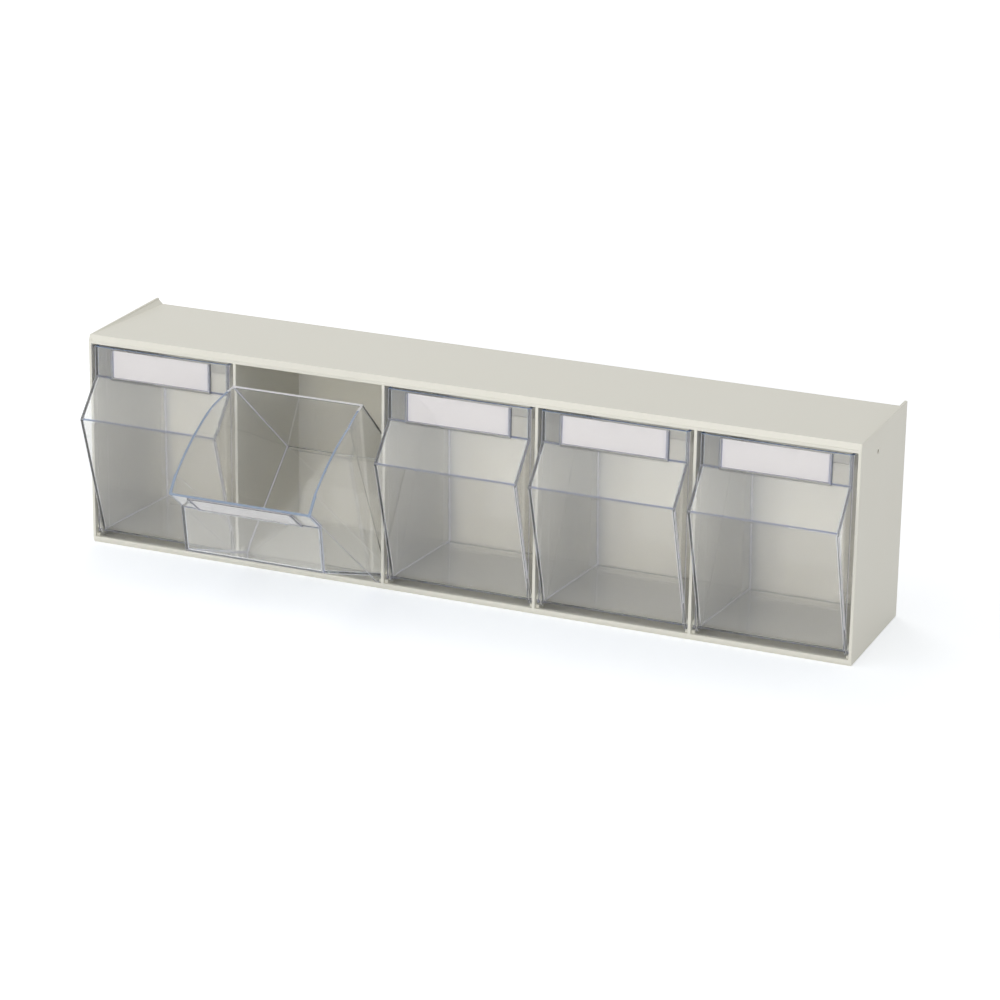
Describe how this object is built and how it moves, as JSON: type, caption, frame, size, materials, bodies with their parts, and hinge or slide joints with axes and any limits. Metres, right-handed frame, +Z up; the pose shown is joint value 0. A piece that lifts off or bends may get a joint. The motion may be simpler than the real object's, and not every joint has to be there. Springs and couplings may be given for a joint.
{
  "type": "tip-out bin unit",
  "caption": "Wide open-fronted plastic cabinet holding a row of clear bins that tip out forward on pins at their lower front edge, each with a label holder.",
  "frame": {"origin": "middle of the cabinet's flat underside", "axes": "+X along the front to the right, +Y from the front to the back, +Z up"},
  "size_m": [0.6, 0.2216, 0.164],
  "materials": {
    "cabinet_ivory": "satin moulded polystyrene, warm light grey",
    "bin_clear": "clear polystyrene, polished",
    "label_card": "smooth white card",
    "label_cover": "thin clear strip"
  },
  "bodies": {
    "cabinet": {"cabinet": "cabinet_ivory"},
    "tip_bin_1": {"bin_1": "bin_clear", "label_card_1": "label_card", "label_cover_1": "label_cover"},
    "tip_bin_2": {"bin_2": "bin_clear", "label_card_2": "label_card", "label_cover_2": "label_cover"},
    "tip_bin_3": {"bin_3": "bin_clear", "label_card_3": "label_card", "label_cover_3": "label_cover"},
    "tip_bin_4": {"bin_4": "bin_clear", "label_card_4": "label_card", "label_cover_4": "label_cover"},
    "tip_bin_5": {"bin_5": "bin_clear", "label_card_5": "label_card", "label_cover_5": "label_cover"}
  },
  "joints": [
    {"name": "bin_1_tip", "type": "hinge", "parent": "cabinet", "child": "tip_bin_1", "pos_m": [-0.23908, -0.0465, 0.0092], "axis": [1, 0, 0], "range_deg": [0, 52]},
    {"name": "bin_2_tip", "type": "hinge", "parent": "cabinet", "child": "tip_bin_2", "pos_m": [-0.11954, -0.0465, 0.0092], "axis": [1, 0, 0], "range_deg": [-52, 0]},
    {"name": "bin_3_tip", "type": "hinge", "parent": "cabinet", "child": "tip_bin_3", "pos_m": [0, -0.0465, 0.0092], "axis": [1, 0, 0], "range_deg": [0, 52]},
    {"name": "bin_4_tip", "type": "hinge", "parent": "cabinet", "child": "tip_bin_4", "pos_m": [0.11954, -0.0465, 0.0092], "axis": [1, 0, 0], "range_deg": [0, 52]},
    {"name": "bin_5_tip", "type": "hinge", "parent": "cabinet", "child": "tip_bin_5", "pos_m": [0.23908, -0.0465, 0.0092], "axis": [1, 0, 0], "range_deg": [0, 52]}
  ]
}
